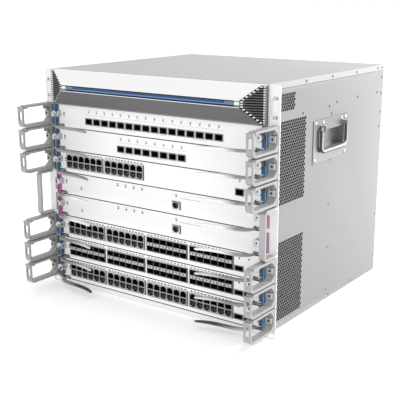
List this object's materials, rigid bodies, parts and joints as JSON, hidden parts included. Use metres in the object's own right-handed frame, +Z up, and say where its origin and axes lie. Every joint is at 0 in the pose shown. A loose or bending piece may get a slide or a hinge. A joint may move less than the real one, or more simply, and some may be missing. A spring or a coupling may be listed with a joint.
{
  "type": "modular chassis switch",
  "caption": "Tall rack-mount network chassis with stacked sliding cards, port blocks, ejector levers, side cable rings, carry handles, rear fan trays and power supplies.",
  "frame": {"origin": "on the floor under the middle of the front plane of the faceplates and rack ears", "axes": "+X to the right seen from the front, +Y to the back, +Z up"},
  "size_m": [0.4826, 0.5063, 0.397],
  "materials": {
    "body_sheet": "fine satin powder coat",
    "inner_sheet": "plated sheet steel",
    "faceplate": "satin painted card faceplate",
    "circuit_board": "solder mask green with dark ports",
    "lever": "satin moulded lever",
    "ring_plastic": "light grey moulding",
    "bright_steel": "bright plated steel",
    "chrome": "bright chrome",
    "black_plastic": "black moulding",
    "front_plastic": "white moulded fascia",
    "blue_bar": "blue tinted strip"
  },
  "bodies": {
    "chassis": {"side_wall_right": "body_sheet", "guide_rack_right": "inner_sheet", "rack_ear_right": "body_sheet", "cable_rings_right": "ring_plastic", "carry_plate_right": "bright_steel", "side_wall_left": "body_sheet", "guide_rack_left": "inner_sheet", "rack_ear_left": "body_sheet", "cable_rings_left": "ring_plastic", "carry_plate_left": "bright_steel", "base_pan": "body_sheet", "top_cover": "body_sheet", "mid_shelf": "inner_sheet", "backplane": "circuit_board", "fascia": "front_plastic", "light_bar": "blue_bar"},
    "card_1": {"card_1_tray": "faceplate", "card_1_board": "circuit_board"},
    "card_2": {"card_2_tray": "faceplate", "card_2_board": "circuit_board"},
    "card_3": {"card_3_tray": "faceplate", "card_3_board": "circuit_board"},
    "card_4": {"card_4_tray": "faceplate", "card_4_board": "circuit_board"},
    "card_5": {"card_5_tray": "faceplate", "card_5_board": "circuit_board"},
    "card_6": {"card_6_tray": "faceplate", "card_6_board": "circuit_board"},
    "card_7": {"card_7_tray": "faceplate", "card_7_board": "circuit_board"},
    "card_8": {"card_8_tray": "faceplate", "card_8_board": "circuit_board"},
    "card_1_lever_right": {"card_1_lever_right": "lever"},
    "card_1_lever_left": {"card_1_lever_left": "lever"},
    "card_2_lever_right": {"card_2_lever_right": "lever"},
    "card_2_lever_left": {"card_2_lever_left": "lever"},
    "card_3_lever_right": {"card_3_lever_right": "lever"},
    "card_3_lever_left": {"card_3_lever_left": "lever"},
    "card_4_lever_right": {"card_4_lever_right": "lever"},
    "card_4_lever_left": {"card_4_lever_left": "lever"},
    "card_5_lever_right": {"card_5_lever_right": "lever"},
    "card_5_lever_left": {"card_5_lever_left": "lever"},
    "card_6_lever_right": {"card_6_lever_right": "lever"},
    "card_6_lever_left": {"card_6_lever_left": "lever"},
    "card_7_lever_right": {"card_7_lever_right": "lever"},
    "card_7_lever_left": {"card_7_lever_left": "lever"},
    "card_8_lever_right": {"card_8_lever_right": "lever"},
    "card_8_lever_left": {"card_8_lever_left": "lever"},
    "carry_bail_right": {"carry_bail_right": "chrome"},
    "carry_bail_left": {"carry_bail_left": "chrome"},
    "fan_tray_right": {"fan_tray_right": "inner_sheet"},
    "fan_rotor_low_right": {"fan_rotor_low_right": "black_plastic"},
    "fan_rotor_high_right": {"fan_rotor_high_right": "black_plastic"},
    "fan_tray_left": {"fan_tray_left": "inner_sheet"},
    "fan_rotor_low_left": {"fan_rotor_low_left": "black_plastic"},
    "fan_rotor_high_left": {"fan_rotor_high_left": "black_plastic"},
    "power_supply_1": {"power_supply_1": "inner_sheet"},
    "power_supply_2": {"power_supply_2": "inner_sheet"},
    "power_supply_3": {"power_supply_3": "inner_sheet"},
    "power_supply_4": {"power_supply_4": "inner_sheet"}
  },
  "joints": [
    {"name": "card_1_slide", "type": "slide", "parent": "chassis", "child": "card_1", "axis": [0, -1, 0], "range_m": [0, 0.36]},
    {"name": "card_2_slide", "type": "slide", "parent": "chassis", "child": "card_2", "axis": [0, -1, 0], "range_m": [0, 0.36]},
    {"name": "card_3_slide", "type": "slide", "parent": "chassis", "child": "card_3", "axis": [0, -1, 0], "range_m": [0, 0.36]},
    {"name": "card_4_slide", "type": "slide", "parent": "chassis", "child": "card_4", "axis": [0, -1, 0], "range_m": [0, 0.36]},
    {"name": "card_5_slide", "type": "slide", "parent": "chassis", "child": "card_5", "axis": [0, -1, 0], "range_m": [0, 0.36]},
    {"name": "card_6_slide", "type": "slide", "parent": "chassis", "child": "card_6", "axis": [0, -1, 0], "range_m": [0, 0.36]},
    {"name": "card_7_slide", "type": "slide", "parent": "chassis", "child": "card_7", "axis": [0, -1, 0], "range_m": [0, 0.36]},
    {"name": "card_8_slide", "type": "slide", "parent": "chassis", "child": "card_8", "axis": [0, -1, 0], "range_m": [0, 0.36]},
    {"name": "card_1_lever_right_hinge", "type": "hinge", "parent": "card_1", "child": "card_1_lever_right", "pos_m": [0.203, 0.004, 0.29768], "axis": [0, 0, 1], "range_deg": [0, 55]},
    {"name": "card_1_lever_left_hinge", "type": "hinge", "parent": "card_1", "child": "card_1_lever_left", "pos_m": [-0.203, 0.004, 0.29768], "axis": [0, 0, -1], "range_deg": [0, 55]},
    {"name": "card_2_lever_right_hinge", "type": "hinge", "parent": "card_2", "child": "card_2_lever_right", "pos_m": [0.203, 0.004, 0.25704], "axis": [0, 0, 1], "range_deg": [0, 55]},
    {"name": "card_2_lever_left_hinge", "type": "hinge", "parent": "card_2", "child": "card_2_lever_left", "pos_m": [-0.203, 0.004, 0.25704], "axis": [0, 0, -1], "range_deg": [0, 55]},
    {"name": "card_3_lever_right_hinge", "type": "hinge", "parent": "card_3", "child": "card_3_lever_right", "pos_m": [0.203, 0.004, 0.2164], "axis": [0, 0, 1], "range_deg": [0, 55]},
    {"name": "card_3_lever_left_hinge", "type": "hinge", "parent": "card_3", "child": "card_3_lever_left", "pos_m": [-0.203, 0.004, 0.2164], "axis": [0, 0, -1], "range_deg": [0, 55]},
    {"name": "card_4_lever_right_hinge", "type": "hinge", "parent": "card_4", "child": "card_4_lever_right", "pos_m": [0.203, 0.004, 0.17576], "axis": [0, 0, 1], "range_deg": [0, 55]},
    {"name": "card_4_lever_left_hinge", "type": "hinge", "parent": "card_4", "child": "card_4_lever_left", "pos_m": [-0.203, 0.004, 0.17576], "axis": [0, 0, -1], "range_deg": [0, 55]},
    {"name": "card_5_lever_right_hinge", "type": "hinge", "parent": "card_5", "child": "card_5_lever_right", "pos_m": [0.203, 0.004, 0.13512], "axis": [0, 0, 1], "range_deg": [0, 55]},
    {"name": "card_5_lever_left_hinge", "type": "hinge", "parent": "card_5", "child": "card_5_lever_left", "pos_m": [-0.203, 0.004, 0.13512], "axis": [0, 0, -1], "range_deg": [0, 55]},
    {"name": "card_6_lever_right_hinge", "type": "hinge", "parent": "card_6", "child": "card_6_lever_right", "pos_m": [0.203, 0.004, 0.09448], "axis": [0, 0, 1], "range_deg": [0, 55]},
    {"name": "card_6_lever_left_hinge", "type": "hinge", "parent": "card_6", "child": "card_6_lever_left", "pos_m": [-0.203, 0.004, 0.09448], "axis": [0, 0, -1], "range_deg": [0, 55]},
    {"name": "card_7_lever_right_hinge", "type": "hinge", "parent": "card_7", "child": "card_7_lever_right", "pos_m": [0.203, 0.004, 0.05384], "axis": [0, 0, 1], "range_deg": [0, 55]},
    {"name": "card_7_lever_left_hinge", "type": "hinge", "parent": "card_7", "child": "card_7_lever_left", "pos_m": [-0.203, 0.004, 0.05384], "axis": [0, 0, -1], "range_deg": [0, 55]},
    {"name": "card_8_lever_right_hinge", "type": "hinge", "parent": "card_8", "child": "card_8_lever_right", "pos_m": [0.203, 0.004, 0.0132], "axis": [0, 0, 1], "range_deg": [0, 55]},
    {"name": "card_8_lever_left_hinge", "type": "hinge", "parent": "card_8", "child": "card_8_lever_left", "pos_m": [-0.203, 0.004, 0.0132], "axis": [0, 0, -1], "range_deg": [0, 55]},
    {"name": "carry_bail_right_hinge", "type": "hinge", "parent": "chassis", "child": "carry_bail_right", "pos_m": [0.227, 0.207, 0.31], "axis": [0, -1, 0], "range_deg": [0, 90]},
    {"name": "carry_bail_left_hinge", "type": "hinge", "parent": "chassis", "child": "carry_bail_left", "pos_m": [-0.227, 0.207, 0.31], "axis": [0, 1, 0], "range_deg": [0, 90]},
    {"name": "fan_tray_right_slide", "type": "slide", "parent": "chassis", "child": "fan_tray_right", "axis": [0, 1, 0], "range_m": [0, 0.1]},
    {"name": "fan_rotor_low_right_spin", "type": "hinge", "parent": "fan_tray_right", "child": "fan_rotor_low_right", "pos_m": [0.1036, 0.395, 0.093], "axis": [0, 1, 0], "continuous": true},
    {"name": "fan_rotor_high_right_spin", "type": "hinge", "parent": "fan_tray_right", "child": "fan_rotor_high_right", "pos_m": [0.1036, 0.395, 0.257], "axis": [0, 1, 0], "continuous": true},
    {"name": "fan_tray_left_slide", "type": "slide", "parent": "chassis", "child": "fan_tray_left", "axis": [0, 1, 0], "range_m": [0, 0.1]},
    {"name": "fan_rotor_low_left_spin", "type": "hinge", "parent": "fan_tray_left", "child": "fan_rotor_low_left", "pos_m": [-0.1036, 0.395, 0.093], "axis": [0, 1, 0], "continuous": true},
    {"name": "fan_rotor_high_left_spin", "type": "hinge", "parent": "fan_tray_left", "child": "fan_rotor_high_left", "pos_m": [-0.1036, 0.395, 0.257], "axis": [0, 1, 0], "continuous": true},
    {"name": "power_supply_1_slide", "type": "slide", "parent": "chassis", "child": "power_supply_1", "axis": [0, 1, 0], "range_m": [0, 0.3]},
    {"name": "power_supply_2_slide", "type": "slide", "parent": "chassis", "child": "power_supply_2", "axis": [0, 1, 0], "range_m": [0, 0.3]},
    {"name": "power_supply_3_slide", "type": "slide", "parent": "chassis", "child": "power_supply_3", "axis": [0, 1, 0], "range_m": [0, 0.3]},
    {"name": "power_supply_4_slide", "type": "slide", "parent": "chassis", "child": "power_supply_4", "axis": [0, 1, 0], "range_m": [0, 0.3]}
  ]
}
